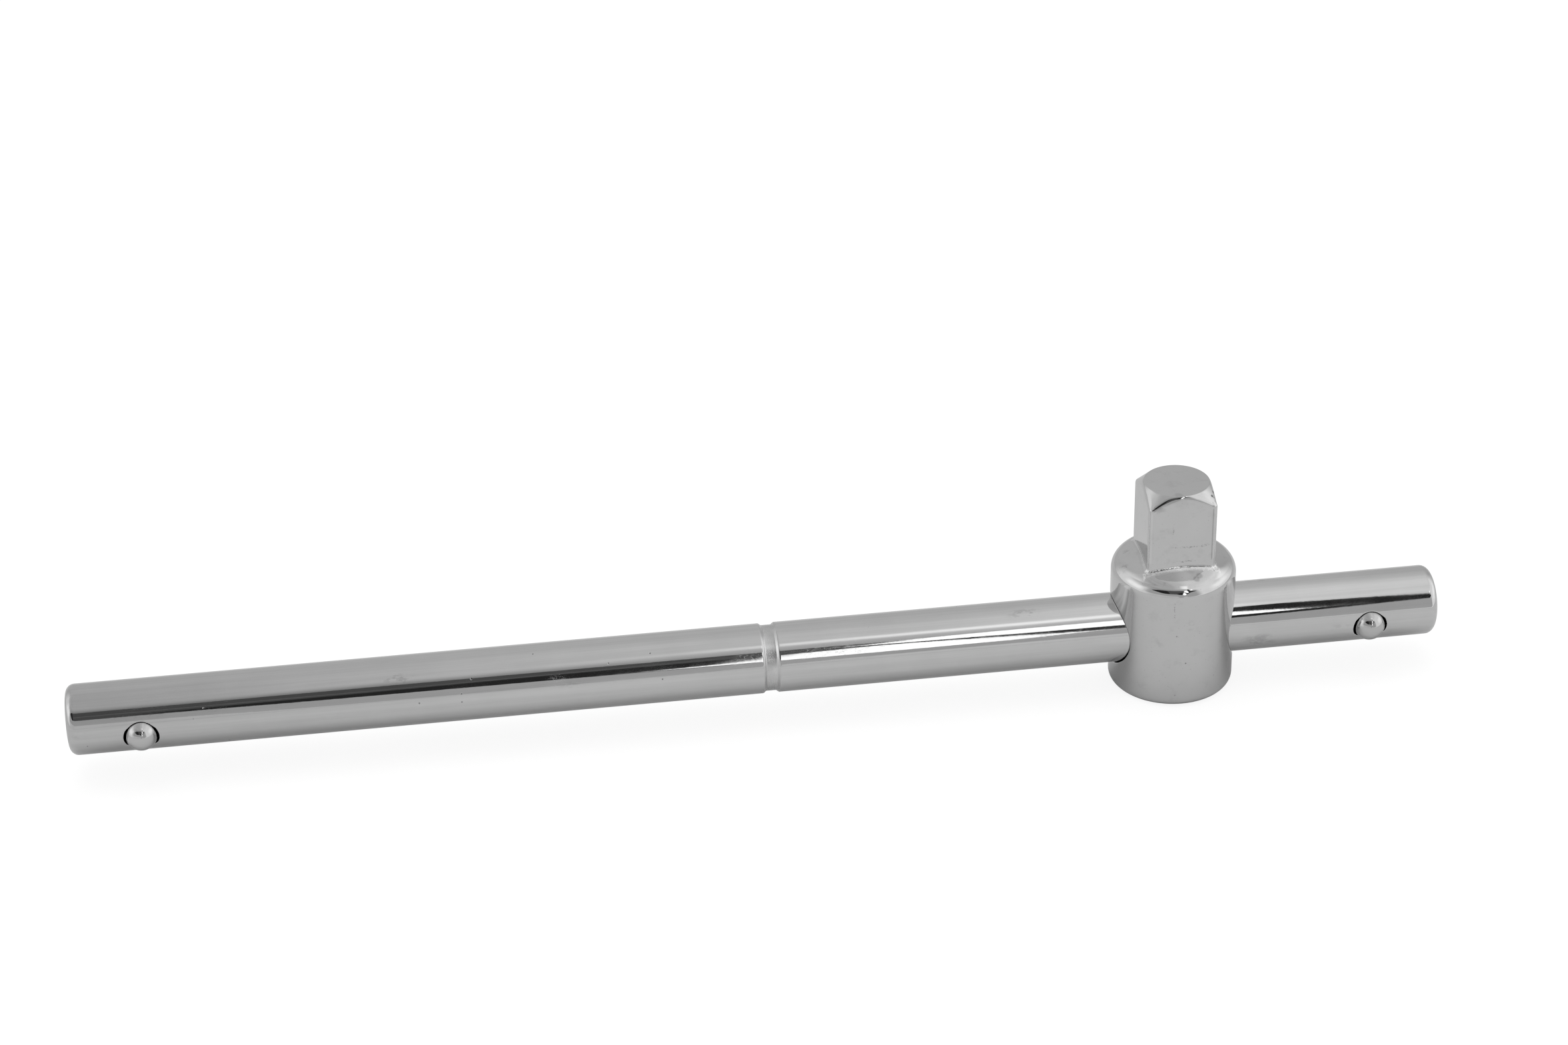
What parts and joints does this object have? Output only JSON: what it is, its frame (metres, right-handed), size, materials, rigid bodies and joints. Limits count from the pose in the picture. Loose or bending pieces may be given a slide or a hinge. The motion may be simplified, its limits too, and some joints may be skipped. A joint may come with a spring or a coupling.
{
  "type": "sliding t-handle",
  "caption": "Sliding T-handle: a round chromed bar slides through a cross-bored head with a male square drive, and a sprung ball near each end stops it.",
  "frame": {"origin": "centre of the head's flat underside, on the axis of the square drive", "axes": "+X along the bar, towards its short end as stored; +Y to the rear, where the socket ball is; +Z along the drive, from the underside to the tip"},
  "size_m": [0.25, 0.0228, 0.0412],
  "materials": {
    "bar_chrome": "bright chrome plate over a drawn bar, with faint handling scratches and pits",
    "head_chrome": "bright chrome plate over a polished forging, slightly wavy, with small pits and plating nodules at the drive's root",
    "ball_steel": "polished bearing ball",
    "spring_steel": "drawn spring wire, dull and slightly oiled",
    "plug_steel": "steel pin ground flush with the underside"
  },
  "bodies": {
    "head": {"sliding_head": "head_chrome", "detent_plug": "plug_steel", "detent_spring": "spring_steel", "socket_ball_spring": "spring_steel"},
    "bar": {"handle_bar": "bar_chrome", "left_stop_spring": "spring_steel", "right_stop_spring": "spring_steel"},
    "left_ball": {"left_stop_ball": "ball_steel"},
    "right_ball": {"right_stop_ball": "ball_steel"},
    "drive_ball": {"socket_ball": "ball_steel"},
    "detent": {"detent_ball": "ball_steel"}
  },
  "joints": [
    {"name": "bar_slide", "type": "slide", "parent": "head", "child": "bar", "axis": [1, 0, 0], "range_m": [-0.0236, 0.1756]},
    {"name": "left_ball_press", "type": "slide", "parent": "bar", "child": "left_ball", "axis": [0, 0.9863, 0.165], "range_m": [0, 0.00205], "stiffness_N_per_m": 1500, "springref_m": -0.001, "deforming": ["left_stop_spring"]},
    {"name": "right_ball_press", "type": "slide", "parent": "bar", "child": "right_ball", "axis": [0, 0.9863, 0.165], "range_m": [0, 0.00205], "stiffness_N_per_m": 1500, "springref_m": -0.001, "deforming": ["right_stop_spring"]},
    {"name": "socket_ball_press", "type": "slide", "parent": "head", "child": "drive_ball", "axis": [0, -1, 0], "range_m": [0, 0.0011], "stiffness_N_per_m": 2500, "springref_m": -0.001, "deforming": ["socket_ball_spring"]},
    {"name": "detent_ball_press", "type": "slide", "parent": "head", "child": "detent", "axis": [0, 0, 1], "range_m": [0, 0.001], "stiffness_N_per_m": 4000, "springref_m": -0.002, "deforming": ["detent_spring"]}
  ]
}
